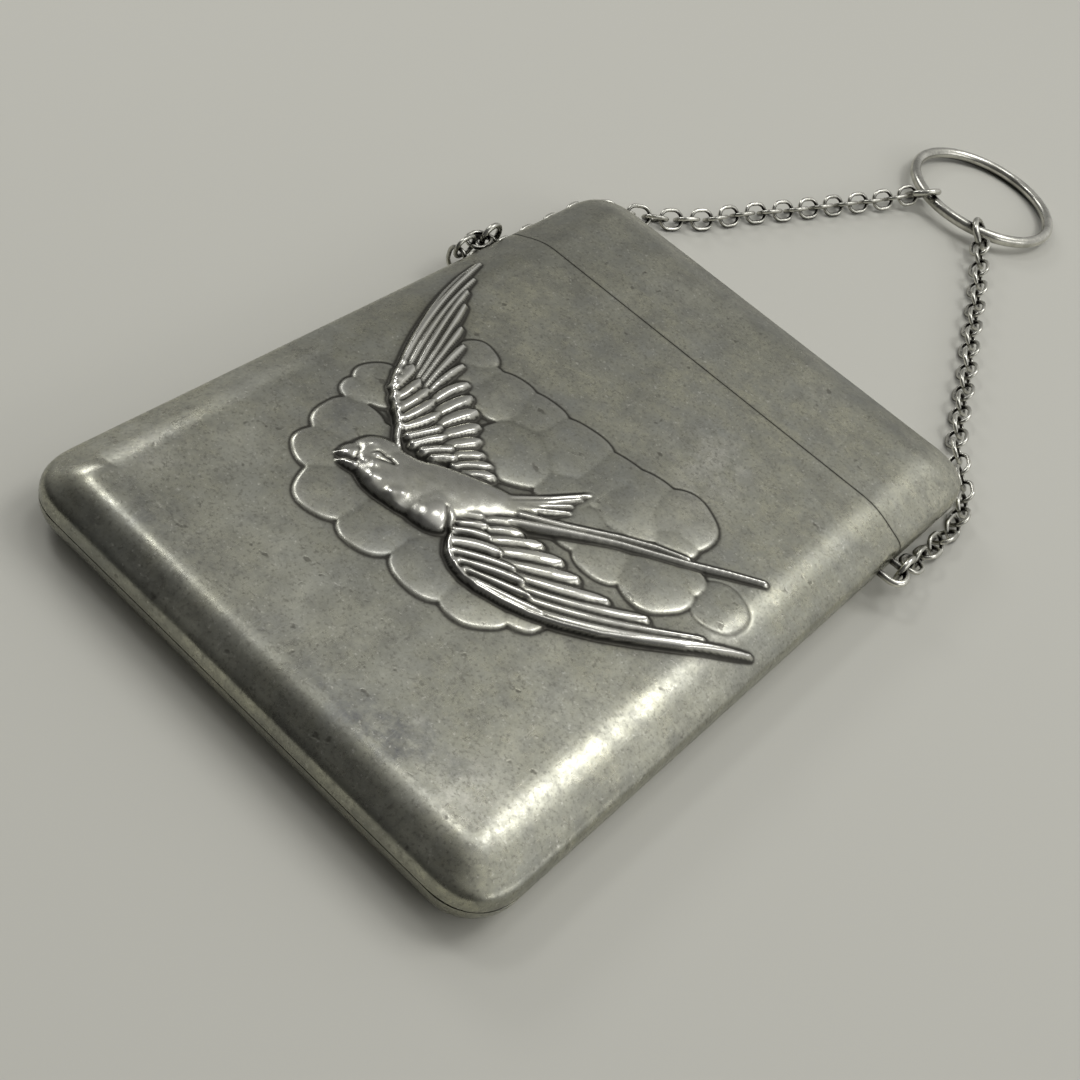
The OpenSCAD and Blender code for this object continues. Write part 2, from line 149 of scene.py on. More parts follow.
def grid_faces(rows, cols, start, flip):
    """Quads of a grid whose points are numbered row by row."""
    i, j = np.meshgrid(np.arange(rows - 1), np.arange(cols - 1), indexing="ij")
    a = start + i * cols + j
    f = np.stack([a, a + 1, a + cols + 1, a + cols], -1).reshape(-1, 4)
    return f[:, ::-1] if flip else f


def place_grid(alpha, sign, xs, beta, ys, end, roll, inset, tighter):
    """Places a grid on a shell: alpha and beta are 1 at its edge and 0 where it is flat."""
    a, b = np.meshgrid(alpha, beta)
    m = np.maximum(a, b)
    n = (a ** CORNER_POWER + b ** CORNER_POWER) ** (1 / CORNER_POWER)
    s = np.where(n > 0, m / np.maximum(n, 1e-9), 1)
    sx, _ = np.meshgrid(sign, beta)
    x0, y0 = np.meshgrid(xs, ys)
    x = np.where(a > 0, sx * (HALF_WIDTH - ROLL + ROLL * a * s), x0)
    y = np.where(b > 0, end * (HALF_LENGTH - ROLL + ROLL * b * s), y0)
    share = b ** 2 / np.maximum(a ** 2 + b ** 2, 1e-9)
    d = inset + np.maximum(ROLL * (1 - m) - inset, 0) * (1 + (tighter - 1) * share)
    z = np.interp(d, roll[:, 0], roll[:, 1])
    return x, y, np.where(m > 0, z, roll[-1, 1] + 0 * z)


def flat_rows(mouth, end, fine, step):
    """Rows of the flat part, from the rolled end to the mouth."""
    start = end * (HALF_LENGTH - ROLL)
    edge = mouth + end * EDGE_ROWS
    if fine:
        return np.concatenate([np.arange(start, COARSE_END, COARSE_STEP),
                               np.arange(RELIEF_START, RELIEF_END, step),
                               np.linspace(UPPER_START, mouth - COARSE_STEP, UPPER_ROWS), edge])
    return np.concatenate([np.linspace(start, mouth + LID_LAST, LID_ROWS), edge])


def edge_strips(rows, cols, keep_r, keep_c, end):
    """Faces between the outer and the inner side, along the four edges of the sheet."""
    base = rows * cols
    wide = len(keep_c)
    last = base + (len(keep_r) - 1) * wide
    edges = ((keep_c, lambda k: k, lambda n: base + n, end < 0),
             (keep_c, lambda k: (rows - 1) * cols + k, lambda n: last + n, end > 0),
             (keep_r, lambda k: k * cols, lambda n: base + n * wide, end > 0),
             (keep_r, lambda k: k * cols + cols - 1, lambda n: base + n * wide + wide - 1, end < 0))
    strips = []
    for keep, outer_at, inner_at, flip in edges:
        for n, (k0, k1) in enumerate(zip(keep[:-1], keep[1:])):
            face = [outer_at(k) for k in range(k0, k1 + 1)] + [inner_at(n + 1), inner_at(n)]
            strips.append(face[::-1] if flip else face)
    return strips


def front_shell(name, mouth, end, fine, step, relief=None):
    """Front half of the body (end = -1) or of the lid (end = 1), as one closed sheet."""
    side = ROLL_LINE
    if fine:
        steep = side[side[:, 0] < STEEP]
        d = np.arange(STEEP, ROLL, step)
        side = np.concatenate([steep, np.stack([d, np.interp(d, side[:, 0], side[:, 1])], 1), [side[-1]]])
    inner_side = offset_line(side, SHEET)
    alpha = 1 - side[:-1, 0] / ROLL
    inner = 1 - inner_side[:-1, 0] / ROLL
    rolled = len(alpha)
    flat = HALF_WIDTH - ROLL
    columns = int(round(2 * flat / step)) if fine else LID_COLUMNS
    xs = np.linspace(-flat, flat, columns + 1)
    ys = flat_rows(mouth, end, fine, step)
    col_alpha = np.concatenate([alpha, 0 * xs, alpha[::-1]])
    col_inner = np.concatenate([inner, 0 * xs, inner[::-1]])
    col_sign = np.concatenate([0 * alpha - 1, 0 * xs, 0 * alpha + 1])
    col_x = np.concatenate([0 * alpha, xs, 0 * alpha])
    row_beta = np.concatenate([alpha, 0 * ys])
    row_inner = np.concatenate([inner, 0 * ys])
    row_y = np.concatenate([0 * alpha, ys])
    tighter = BOTTOM_TIGHTER if end < 0 else 1
    x, y, z = place_grid(col_alpha, col_sign, col_x, row_beta, row_y, end, side, 0, tighter)
    marks = {"dark": 0 * z}
    if relief:
        h, marks = relief(x, y, step)
        z = z + h
    # Painted shade: a dark line along the lid line, where the gap between body and lid lies
    marks["dark"] = np.maximum(marks["dark"], LINE_SHADE * np.exp(-((y - mouth) / LINE_WIDTH) ** 2))
    rows, cols = x.shape
    edge = range(0, rolled, EDGE_STRIDE)
    row_stride, col_stride = BODY_STRIDES if fine else LID_STRIDES
    keep_r = sorted({*edge, *range(rolled, rows, row_stride), rows - 1})
    keep_c = sorted({*edge, *range(rolled, cols - rolled, col_stride), *(cols - 1 - c for c in edge)})
    xi, yi, zi = place_grid(col_inner[keep_c], col_sign[keep_c], col_x[keep_c], row_inner[keep_r],
                            row_y[keep_r], end, inner_side, SHEET, tighter)
    outer = np.stack([x, y, z], -1).reshape(-1, 3)
    inside = np.stack([xi, yi, zi], -1).reshape(-1, 3)
    faces = grid_faces(rows, cols, 0, end > 0).tolist()
    faces += grid_faces(len(keep_r), len(keep_c), len(outer), end < 0).tolist()
    faces += edge_strips(rows, cols, keep_r, keep_c, end)
    obj = new_mesh(name, np.concatenate([outer, inside]) * MM, faces)
    obj.data.polygons.foreach_set("use_smooth", np.ones(len(obj.data.polygons), bool))
    obj.data.set_sharp_from_angle(angle=SHARP_ANGLE)
    for key, values in marks.items():
        add_layer(obj, key, np.concatenate([values.ravel(), np.zeros(len(inside))]))
    return obj


# Relief: places are in millimetres from the middle of the case.
# A cloud is a group of lobes, each as x, y, radius and share of the cloud's height.
LOW_CLOUDS = [(-20.3, -9.3, 3.9, 0.9), (-21.2, -12.4, 2.4, 0.7), (-17.9, -17.3, 4.4, 1),
              (-16.6, -22.2, 3.9, 1), (-11.7, -25.8, 4.4, 1.1), (-5.4, -25.6, 4.2, 1),
              (2.4, -24.3, 4.8, 1.1), (7.8, -23.4, 4.5, 1), (12.3, -20.7, 2.9, 0.9), (-14, -19, 6, 0.5),
              (-3, -20, 6.5, 0.5), (5, -20, 5, 0.5)]
HIGH_CLOUDS = [(-17.8, 4.3, 2.9, 0.8), (-15, 1.2, 4, 0.6), (-10.8, 1.8, 4.6, 0.95),
               (-6.6, 2.6, 4.4, 0.8), (-0.3, 2.2, 5.5, 1.1), (5.5, 2.5, 5.2, 0.9), (9.8, 2.6, 5.9, 1),
               (14.4, 5.1, 4.9, 1.2), (16, 2.5, 3.2, 0.9), (-3.9, -3.8, 5.4, 1.3), (3, -3, 4, 0.6)]
SIDE_CLOUDS = [(18.4, -4.8, 4.9, 1.2), (12.8, -6.4, 4.4, 0.8), (8, -6.2, 4, 0.6), (20.2, -1.6, 2.8, 0.8)]
FAINT_CLOUDS = [(25.4, -1.4, 3.6, 0.35)]

# Spine of the swallow's body as x, y, half width, height
SPINE = [(-13.7, -20.4, 2.2, 1.1), (-12.9, -19.9, 3.1, 1.3), (-11.6, -19.3, 3.8, 1.5),
         (-9.4, -18.9, 4.0, 1.6), (-7.3, -18.4, 4.3, 1.7), (-5.5, -17.5, 4.6, 1.75),
         (-3.8, -16.1, 4.5, 1.7), (-2.2, -14.4, 3.8, 1.55), (-0.6, -12.8, 3.0, 1.35),
         (1.4, -11.2, 2.1, 1.05), (3.4, -9.8, 1.3, 0.8)]

# Feathers as root, middle, tip, from the wing's leading edge to the body
LEFT_FLIGHT = [((-20.6, -6.2), (-25.2, 2.8), (-30.2, 18.6)), ((-21, -4.4), (-24.9, 4.7), (-28, 14.8)),
               ((-19.7, -4.9), (-23.5, 3.5), (-26.6, 11.9)), ((-18.7, -5.6), (-21.9, 2.4), (-24.9, 9.6)),
               ((-18, -5.8), (-20.3, 0.8), (-22.2, 6.0)), ((-17.1, -6.2), (-18.8, -0.4), (-19.8, 3.8)),
               ((-16.2, -6.7), (-17.1, -2.5), (-17.4, 1.1)), ((-15, -7.3), (-15.3, -3.8), (-14.9, -0.8)),
               ((-13.5, -8.2), (-13.4, -5.1), (-13.1, -2.2)),
               ((-12.1, -9), (-11.8, -6.1), (-11.2, -3.4)), ((-10.7, -9.8), (-10, -7.3), (-9.4, -5.0)),
               ((-9.3, -10.6), (-8.5, -8.6), (-7.7, -6.6)), ((-7.9, -11.2), (-6.9, -9.5), (-5.9, -7.9)),
               ((-6.5, -11.7), (-5.4, -10), (-4.2, -8.4)), ((-5, -11.7), (-3.9, -10.4), (-2.9, -9.3))]
LEFT_COVERTS = [((-19.2, -9), (-19.8, -6.7), (-20.5, -4.5)),
                ((-17.8, -10.1), (-17.9, -7.7), (-18.3, -5.6)),
                ((-16.4, -11), (-16.4, -8.5), (-16.7, -6.1)), ((-15, -11.9), (-14.9, -9.3), (-15, -6.7)),
                ((-13.9, -12.6), (-13.4, -10.1), (-13.2, -7.8)),
                ((-12.7, -13.2), (-12, -11.3), (-11.5, -9.1)),
                ((-11.5, -13.6), (-10.9, -11.7), (-10.2, -9.7)),
                ((-10.1, -13.4), (-9.2, -11.8), (-8.4, -10.4)),
                ((-8.7, -13.3), (-8, -12.2), (-7.2, -11.1))]
RIGHT_FLIGHT = [((12.6, -20.5), (22.6, -13), (31.7, -2.8)), ((11.5, -19.5), (19.6, -14.1), (27.1, -6.8)),
                ((10.1, -18.9), (15.9, -15.3), (21.3, -10.4)),
                ((8.3, -18.4), (12.9, -15.5), (17, -12.3)), ((6.6, -17.9), (9.8, -15.5), (12.9, -12.7)),
                ((5.1, -17.2), (7.8, -14.7), (10.2, -12.4)), ((3.6, -16.6), (5.6, -14.5), (7.4, -12.5)),
                ((2.4, -15.8), (3.7, -14.4), (5, -13.1)), ((1.2, -15.2), (2.4, -13.8), (3.6, -12.4))]
RIGHT_COVERTS = [((6.2, -22.8), (10, -21.5), (14, -19.8)), ((4.8, -22.4), (8.1, -20.9), (11.7, -19.2)),
                 ((3.6, -22), (6.9, -19.9), (9.8, -18.4)), ((2.6, -21.3), (5.2, -19.5), (8, -17.9)),
                 ((1.5, -20.4), (3.4, -18.7), (5.6, -17.5)), ((0.4, -19.2), (1.8, -17.9), (3.5, -16.8)),
                 ((0, -18.1), (1.1, -16.9), (2, -15.9)), ((-1.2, -17.6), (-0.2, -16.3), (0.8, -15.3))]
# Front edges of the wings, and lines of the forked tail, as x, y, half width
LEFT_ARM = [(-12, -15.4, 0.4), (-13.1, -14.5, 0.45), (-14.3, -13, 0.5), (-15.7, -11.8, 0.52),
            (-17.3, -10.6, 0.5), (-18.9, -9.3, 0.5), (-20.3, -7.6, 0.5), (-21.4, -5.5, 0.44),
            (-22.7, -3.1, 0.38), (-24.2, -0.2, 0.34), (-25.5, 2.6, 0.3), (-26.8, 5.6, 0.28),
            (-28.2, 9.4, 0.24), (-29.5, 13.8, 0.2), (-30.4, 18.2, 0.12)]
RIGHT_ARM = [(0.5, -19.9, 0.35), (1.1, -20.9, 0.5), (2.1, -22, 0.58), (3.6, -22.8, 0.52),
             (5.2, -23.1, 0.46), (7.2, -23, 0.42), (10, -22.2, 0.38), (13, -21, 0.36), (16, -19.1, 0.34),
             (19.5, -16.5, 0.32), (23, -13.2, 0.3), (26.5, -9.8, 0.26), (29.5, -6.1, 0.21),
             (31.7, -3, 0.12)]
LONG_STREAMER = [[(3, -12.8, 0.6), (5.9, -10.1, 0.58), (9.2, -7.2, 0.5), (12.5, -4.5, 0.44), (16.1, -2, 0.38),
                  (19.2, 0.2, 0.33), (23, 3.2, 0.3), (26.8, 6, 0.2)],
                 [(3, -11.2, 0.55), (6.8, -8.2, 0.5), (9.4, -5.9, 0.42), (11.9, -3.7, 0.36),
                  (15.5, -1, 0.28), (19, 1, 0.15)]]
SHORT_STREAMERS = [[(0.6, -10.6, 0.6), (1.9, -8.5, 0.5), (3.4, -6.1, 0.38), (4.6, -3.7, 0.24),
                    (5.7, -1.3, 0.05)],
                   [(1.4, -10.6, 0.6), (2.7, -8.5, 0.5), (4, -6.2, 0.38), (4.9, -4.3, 0.24),
                    (5.5, -2.8, 0.08)],
                   [(1.8, -10.6, 0.5), (3.2, -8.6, 0.42), (4.5, -6.5, 0.34), (5.5, -4.6, 0.1)],
                   [(2.2, -10.6, 0.6), (3.7, -8.8, 0.45), (5, -7.2, 0.34), (6.1, -5.6, 0.1)]]

# Small bumps on the head, breast and wing roots as x, y, radius, height
BUMPS = [(-12, -19.1, 0.4, 0.16), (-13.5, -18, 0.4, 0.16), (-12.5, -20.7, 0.45, 0.2),
         (-11.3, -20.2, 0.5, 0.14), (-10.2, -21.8, 0.75, 0.28), (-7.3, -21.5, 0.6, 0.2),
         (-6.5, -20.8, 0.5, 0.16), (-5.7, -22.4, 0.8, 0.3), (-21.4, -4.9, 0.4, 0.16),
         (-20.7, -6.6, 0.42, 0.2), (-19.8, -7.9, 0.45, 0.24), (-18.9, -8.7, 0.4, 0.2),
         (-18.2, -9.7, 0.45, 0.24), (-17, -10.3, 0.4, 0.2), (-16.2, -11.3, 0.45, 0.24),
         (-15, -12, 0.4, 0.2), (-14.1, -12.9, 0.42, 0.22), (2.2, -21.6, 0.4, 0.16),
         (3.6, -22.5, 0.4, 0.14)]

# How full the body, the head and the shoulder are: the lower, the fuller
FULLNESS = 0.42
# Rounded heights of the head and of the right wing's shoulder as x, y, radius, height
DOMES = [(-12.2, -18.5, 3.4, 1.5), (-3.9, -18.1, 3.9, 1.7), (-2.9, -18.9, 2.9, 1.72)]
# The two halves of the beak as a line, half widths and heights along it
BEAK = [([(-13.6, -19.9), (-14.6, -21), (-15.7, -22)], (1.2, 0.85, 0.5, 0.1), (1.3, 1.1, 0.6)),
        ([(-12.9, -21.7), (-13.9, -22.2), (-14.8, -22.7)], (0.8, 0.6, 0.38, 0.1), (1.1, 0.9, 0.5))]
# Three lines round the eye, base of the beak, gape, and the groove behind the shoulder, each as a line,
# its depth and its width
GROOVES = [([(-11.7, -18.6), (-10.8, -18.2), (-9.9, -18.3)], 0.3, 0.17),
           ([(-11.8, -19.5), (-10.9, -19), (-10, -18.5)], 0.22, 0.14),
           ([(-12.7, -19.3), (-12.4, -18.5), (-11.7, -18.3)], 0.2, 0.15),
           ([(-14.8, -18.9), (-13.9, -19.9), (-13.3, -21.1)], 0.2, 0.16),
           ([(-15.2, -22.4), (-14.2, -21.7), (-13.1, -21.2)], 0.34, 0.14),
           ([(-2.2, -18), (-1.1, -18.9), (0, -20.3), (0.7, -21.6)], 0.6, 0.2)]

# Patches of dark tarnish, and pale patches of rubbing wear with a painted highlight on the corners and the
# right edge, as x, y, radius, strength
STAINS = [(15, -43.2, 3.4, 1), (10.5, -43.8, 3.2, 0.8), (19, -40.8, 3, 0.7), (4.5, -43.4, 3, 0.5),
          (-2.5, -44, 3.2, 0.5), (-11.5, -44.3, 3, 0.5), (-20, -43.4, 3.6, 0.7), (-28.2, -33, 3, 0.4),
          (-24, -18, 5, 0.35), (-24, 8, 6, 0.3), (-18.5, -17.5, 4.2, 0.5), (-11.5, -25, 4, 0.5),
          (-4, -25, 3.6, 0.4), (4, -24, 4, 0.4), (-16.5, 2.5, 4, 0.4), (-3, -2, 5, 0.35), (5, 2, 4, 0.3),
          (15.5, -6, 4, 0.4), (-8, 2, 4, 0.3)]
RUBBED_AND_SHEEN = [(23.5, -42.3, 4, 1), (10.7, 16.8, 5, 0.9), (15, -40, 0.7, 1), (26, -8, 4, 0.6),
          (-27, -38, 4, 0.7), (14, 10, 4, 0.5)]

# Feather rows with their heights from root to tip, widest half width, start of the taper, and lean
FEATHER_ROWS = [(LEFT_FLIGHT, (0.7, 0.85, 0.85, 0.7), 1.1, 0.45, -0.2),
                (RIGHT_FLIGHT, (0.75, 0.9, 0.9, 0.7), 1.1, 0.45, 0.12),
                (LEFT_COVERTS, (1.0, 1.1, 1.0), 0.85, 0.8, -0.2),
                (RIGHT_COVERTS, (1.1, 1.15, 1.1), 0.9, 0.8, 0.12)]
ARMS = [(LEFT_ARM, (1.1, 1.05, 0.95, 0.8, 0.6)), (RIGHT_ARM, (1.2, 1.15, 1.05, 0.9, 0.75))]
# Banks of cloud with their height and the height of the step at their edge
CLOUD_BANKS = [(LOW_CLOUDS, 0.24, 0.11), (HIGH_CLOUDS, 0.34, 0.08), (SIDE_CLOUDS, 0.3, 0.07),
               (FAINT_CLOUDS, 0.22, 0.0)]


def patches(x, y, spots):
    """Soft round patches, summed up."""
    return sum(v * np.exp(-((x - cx) ** 2 + (y - cy) ** 2) / r ** 2) for cx, cy, r, v in spots)


def bend(p, steps=14):
    """A smooth curve through three points."""
    t = np.linspace(0, 1, steps + 1)[:, None]
    a, middle, c = (np.array(v, float)[None] for v in p)
    b = 2 * middle - (a + c) / 2
    return (1 - t) ** 2 * a + 2 * t * (1 - t) * b + t * t * c


def nearest(x, y, p):
    """Distance to a line, and how far along it the nearest place is, from 0 to 1."""
    best = np.full(x.shape, 1e9)
    where = np.zeros(x.shape)
    side = np.zeros(x.shape)
    n = len(p) - 1
    for k in range(n):
        dx, dy = p[k + 1] - p[k]
        ll = dx * dx + dy * dy
        t = np.clip(((x - p[k][0]) * dx + (y - p[k][1]) * dy) / ll, 0, 1)
        ex, ey = x - p[k][0] - t * dx, y - p[k][1] - t * dy
        d = ex * ex + ey * ey
        new = d < best
        best = np.where(new, d, best)
        where = np.where(new, (k + t) / n, where)
        side = np.where(new, dx * ey - dy * ex, side)
    return np.sqrt(best), where, np.sign(side)


def step_up(v, a, b):
    """Rises smoothly from 0 at a to 1 at b."""
    t = np.clip((v - a) / (b - a), 0, 1)
    return t * t * (3 - 2 * t)


def ridge(h, x, y, line, widths, heights, base=0.5, web=0.0, shaft=0.0, lean=0.0):
    """Raises a rounded ridge along a line in h.

    base is the share of its height that the ridge keeps to its edge, and web the share that fills the
    groove beside it. shaft is the height of a thin line along its middle, and lean how far one side is
    higher than the other.
    """
    p = np.array(line, float)
    widths = np.array(widths, float)
    reach = widths.max() + 0.5
    near = ((x > p[:, 0].min() - reach) & (x < p[:, 0].max() + reach)
            & (y > p[:, 1].min() - reach) & (y < p[:, 1].max() + reach))
    if not near.any():
        return
    d, t, side = nearest(x[near], y[near], p)
    w = np.interp(t, np.linspace(0, 1, len(widths)), widths)
    top = np.interp(t, np.linspace(0, 1, len(heights)), heights)
    share = d / np.maximum(w, 0.05)
    round_off = np.clip(1 - share ** 2, 0, 1) ** 0.5
    top = top * (1 + lean * side * np.minimum(share, 1))
    rise = top * (base + (1 - base) * round_off) * step_up(w - d, 0, np.minimum(0.2, 0.5 * w))
    if web:
        rise = np.maximum(rise, web * top * step_up(w - d, -0.3, 0))
    if shaft:
        rise = rise + shaft * np.exp(-(d / 0.1) ** 2) * step_up(w - d, 0, 0.3) * step_up(t, 0, 0.1)
    h[near] = np.maximum(h[near], rise)


def feathers(h, x, y, rows, heights, cap, point, lean):
    """A row of feathers side by side: each is as wide as its neighbours leave room for.

    The first two are pointed, and taper from the share given by point. The others end round.
    """
    lines = [bend(row) for row in rows]
    for i, line in enumerate(lines):
        gaps = [nearest(line[:, 0], line[:, 1], lines[j])[0] for j in (i - 1, i + 1) if 0 <= j < len(lines)]
        w = np.clip(0.54 * np.min(gaps, axis=0), 0.2, cap)
        w = np.minimum(w, np.minimum.accumulate(np.maximum(w, 0.3)) + 0.12)
        t = np.linspace(0, 1, len(w))
        pointed = i < 2
        start = point if pointed else 0.8
        taper = np.clip(1 - np.clip((t - start) / (1.06 - start), 0, 1) ** 2, 0, 1)
        w = w * (taper if pointed else np.sqrt(taper))
        ridge(h, x, y, line, w, heights, base=0.72, web=0.45, shaft=0.07, lean=lean)


def clouds(x, y, lobes, height, edge):
    """Height of a bank of cloud, and the distance inside its edge."""
    inside = np.full(x.shape, -9.0)
    h = np.zeros(x.shape)
    for cx, cy, r, share in lobes:
        angle = np.arctan2(y - cy, x - cx)
        wobble = 1 + 0.025 * np.sin(3 * angle + cx) + 0.02 * np.sin(5 * angle + cy)
        d = r * wobble - np.hypot(x - cx, y - cy)
        inside = np.maximum(inside, d)
        dome = np.clip(1 - ((r - d) / r) ** 2, 0, 1)
        h = np.maximum(h, np.where(d > 0, height * share * dome ** 0.7, 0))
    return h + edge * step_up(inside, 0, 0.28), inside


def blur(v, sigma):
    """Gaussian blur, with sigma in grid steps."""
    k = np.arange(-int(3 * sigma), int(3 * sigma) + 1)
    g = np.exp(-0.5 * (k / sigma) ** 2)
    g /= g.sum()
    n = len(k) // 2
    for axis in (0, 1):
        w = np.pad(v, [(n, n) if a == axis else (0, 0) for a in (0, 1)], mode="edge")
        size = v.shape[axis]
        v = sum(g[i] * (w[i:i + size] if axis == 0 else w[:, i:i + size]) for i in range(len(k)))
    return v


def cloud_relief(x, y):
    """Height of all the clouds."""
    h = np.zeros(x.shape)
    outline = np.full(x.shape, -9.0)
    for lobes, height, edge in CLOUD_BANKS:
        part, inside = clouds(x, y, lobes, height, edge)
        h = np.maximum(h, part)
        outline = np.maximum(outline, inside)
    # A fine groove round the clouds
    return h - 0.07 * np.exp(-((outline + 0.1) / 0.14) ** 2)


def body_relief(x, y):
    """Height of the swallow's body and head, slightly uneven as if covered with down."""
    spine = np.array(SPINE)
    line = resample(smooth_line(spine, 2), 40)
    d, t, _ = nearest(x, y, line[:, :2])
    along = np.linspace(0, 1, len(line))
    w = np.interp(t, along, line[:, 2])
    top = np.interp(t, along, line[:, 3])
    q = np.clip(1 - (d / w) ** 2, 0, 1)
    body = top * q ** FULLNESS
    body += 0.018 * np.sin(2.1 * x + 2 * np.sin(1.3 * y)) * np.sin(1.9 * y + 0.7 * x) * step_up(q, 0.05, 0.3)
    for cx, cy, radius, height in DOMES:
        dome = np.clip(1 - ((x - cx) ** 2 + (y - cy) ** 2) / radius ** 2, 0, 1)
        body = np.maximum(body, height * dome ** FULLNESS)
    return body


def bird_relief(x, y):
    """Height of the whole swallow: wings, tail, body and beak, then bumps and grooves."""
    bird = np.zeros(x.shape)
    for rows, heights, cap, point, lean in FEATHER_ROWS:
        feathers(bird, x, y, rows, heights, cap, point, lean)
    for arm, heights in ARMS:
        p = np.array(arm)
        ridge(bird, x, y, p[:, :2], p[:, 2], heights)
    for line in LONG_STREAMER + SHORT_STREAMERS:
        p = np.array(line)
        ridge(bird, x, y, p[:, :2], p[:, 2], (1.0, 0.85, 0.75, 0.6), web=0.55)
    bird = np.maximum(bird, body_relief(x, y))
    for line, widths, tops in BEAK:
        ridge(bird, x, y, line, widths, tops, base=0.3)
    for bx, by, br, bh in BUMPS:
        bird += bh * np.exp(-((x - bx) ** 2 + (y - by) ** 2) / br ** 2) * (bird > 0.3)
    for groove, depth, width in GROOVES:
        d, t, _ = nearest(x, y, np.array(groove))
        fade = 0.35 + 0.65 * step_up(t, 0, 0.5)
        bird -= depth * fade * np.exp(-(d / width) ** 2) * (bird > 0.1)
    return bird


def swallow_relief(x, y, step):
    """Height of the relief over the sheet, and its marks: tarnish with painted shade, edge wear with painted
    glints, stains, and pale rubbing with a painted highlight.
    """
    cloud = cloud_relief(x, y)
    bird = bird_relief(x, y)
    h = np.where(bird > 0.02, np.maximum(cloud, bird), cloud)
    solid = (bird > 0.05).astype(float)
    # A fine groove round the bird
    h -= 0.06 * np.exp(-(blur(solid, 0.3 / step) - 0.35) ** 2 / 0.03) * (1 - solid)
    h = blur(h, 0.13 / step)
    # Tarnish stays in narrow and wide hollows, painted shade darkens the low ground beside steps, and edges
    # wear bright with painted glints
    small = blur(h, 0.3 / step) - h
    wide = blur(h, 1.0 / step) - h
    shade = blur((h > 0.12).astype(float), 1.5 / step) * (h < 0.12)
    dark = np.clip(small / 0.055, 0, 1) * 0.9 + np.clip(wide / 0.3, 0, 1) * 0.5 + 0.4 * shade
    # Edge wear, with painted glints on it
    worn = np.clip(-small / 0.07, 0, 1) * 0.6 + np.clip(-wide / 0.3, 0, 1) * 0.35
    return h, {"dark": np.clip(dark, 0, 1), "worn": np.clip(worn, 0, 1),
               "bird": blur(solid, 0.25 / step),
               "stain": np.clip(patches(x, y, STAINS), 0, 1),
               "rubbed": np.clip(patches(x, y, RUBBED_AND_SHEEN), 0, 1)}


# How deep the finest unevenness of the metal is, in metres
BUMP_DEPTH = 0.00002
# Four ways in which fine scratches run, as turn and seed
SCRATCHES = ((0.35, 1.0), (-0.6, 4.0), (1.25, 7.0), (2.3, 9.0))


class Nodes:
    """A short way to write a material's node tree."""

    def __init__(self, name):
        self.material = bpy.data.materials.new(name)
        self.material.use_nodes = True
        self.tree = self.material.node_tree
        self.tree.nodes.clear()
        self.out = self.add("ShaderNodeOutputMaterial")
        self.coords = self.add("ShaderNodeTexCoord").outputs["Object"]

    def add(self, kind, **values):
        node = self.tree.nodes.new(kind)
        for key, value in values.items():
            setattr(node, key, value)
        return node

    def put(self, socket, value):
        if isinstance(value, bpy.types.NodeSocket):
            self.tree.links.new(value, socket)
        else:
            socket.default_value = value

    def math(self, op, a, b):
        node = self.add("ShaderNodeMath", operation=op)
        self.put(node.inputs[0], a)
        self.put(node.inputs[1], b)
        return node.outputs[0]

    def plus(self, value, *parts):
        """Adds each part times its weight."""
        for part, weight in parts:
            value = self.math("ADD", value, self.math("MULTIPLY", part, weight))
        return value

    def noise(self, scale, detail=3.0, rough=0.5, stretch=None, turn=0.0, seed=0.0):
        mapping = self.add("ShaderNodeMapping")
        mapping.inputs["Location"].default_value = (seed, 0.37 * seed, 0)
        mapping.inputs["Rotation"].default_value = (0, 0, turn)
        mapping.inputs["Scale"].default_value = stretch or (1, 1, 1)
        self.put(mapping.inputs["Vector"], self.coords)
        node = self.add("ShaderNodeTexNoise")
        node.inputs["Scale"].default_value = scale
        node.inputs["Detail"].default_value = detail
        node.inputs["Roughness"].default_value = rough
        self.put(node.inputs["Vector"], mapping.outputs[0])
        return node.outputs["Fac"]

    def band(self, value, a, b, low=0.0, high=1.0):
        """Maps the range from a to b onto the one from low to high, and holds its ends beyond."""
        node = self.add("ShaderNodeMapRange", clamp=True)
        self.put(node.inputs["Value"], value)
        for key, number in (("From Min", a), ("From Max", b), ("To Min", low), ("To Max", high)):
            node.inputs[key].default_value = number
        return node.outputs[0]

    def mix(self, factor, a, b):
        node = self.add("ShaderNodeMix", data_type="RGBA")
        self.put(node.inputs[0], factor)
        self.put(node.inputs[6], a)
        self.put(node.inputs[7], b)
        return node.outputs[2]

    def mark(self, name):
        """A number that the mesh carries."""
        return self.add("ShaderNodeAttribute", attribute_name=name).outputs["Fac"]

    def finish(self, colour, rough, height=None, metallic=1.0):
        shader = self.add("ShaderNodeBsdfPrincipled")
        shader.inputs["Metallic"].default_value = metallic
        self.put(shader.inputs["Base Color"], colour)
        self.put(shader.inputs["Roughness"], rough)
        if height is not None:
            bump = self.add("ShaderNodeBump")
            bump.inputs["Strength"].default_value = 1.0
            bump.inputs["Distance"].default_value = BUMP_DEPTH
            self.put(bump.inputs["Height"], height)
            self.put(shader.inputs["Normal"], bump.outputs[0])
        self.put(self.out.inputs["Surface"], shader.outputs[0])
        return self.material


